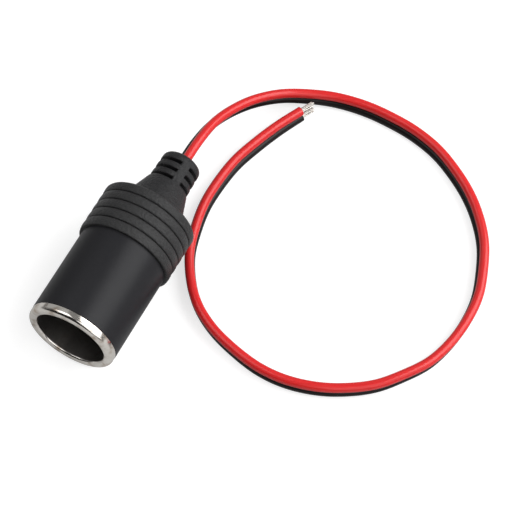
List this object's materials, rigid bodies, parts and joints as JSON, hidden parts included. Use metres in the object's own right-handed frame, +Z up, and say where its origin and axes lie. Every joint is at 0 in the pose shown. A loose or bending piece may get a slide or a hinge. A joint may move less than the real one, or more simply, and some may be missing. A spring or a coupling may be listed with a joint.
{
  "type": "car 12v power socket",
  "caption": "In-line accessory socket: a metal-lined round bore in a black barrel with a ribbed rear grip, strain relief and a bonded twin lead with bare ends.",
  "frame": {"origin": "on the axis of the bore, where its straight wall begins behind the rounded lip", "axes": "+Y from the mouth to the tail along the axis, +Z up, +X to the right seen from the mouth; the socket lies on the ribs of its grip"},
  "size_m": [0.1082, 0.1144, 0.0288],
  "materials": {
    "nickel_plate": "polished nickel plate on drawn steel",
    "black_shell": "smooth satin black",
    "black_moulding": "satin black flexible vinyl",
    "phenolic": "dull dark brown",
    "contact_plate": "plated",
    "rivet_brass": "bare",
    "fibre_washer": "dull red-brown fibre",
    "tag_brass": "bare",
    "tag_tinned": "dull tin",
    "red_insulation": "glossy vinyl",
    "black_insulation": "glossy vinyl",
    "tinned_strands": "tinned copper strands"
  },
  "bodies": {
    "root": {"socket_sleeve": "nickel_plate", "front_barrel": "black_shell", "rear_moulding": "black_moulding", "base_insulator": "phenolic", "centre_contact": "contact_plate", "contact_rivet": "rivet_brass", "rear_washer": "fibre_washer", "positive_tag": "tag_brass", "negative_tag": "tag_tinned", "red_wire": "red_insulation", "black_wire": "black_insulation", "red_solder_end": "tinned_strands", "black_solder_end": "tinned_strands", "red_bare_end": "tinned_strands", "black_bare_end": "tinned_strands"}
  },
  "joints": []
}
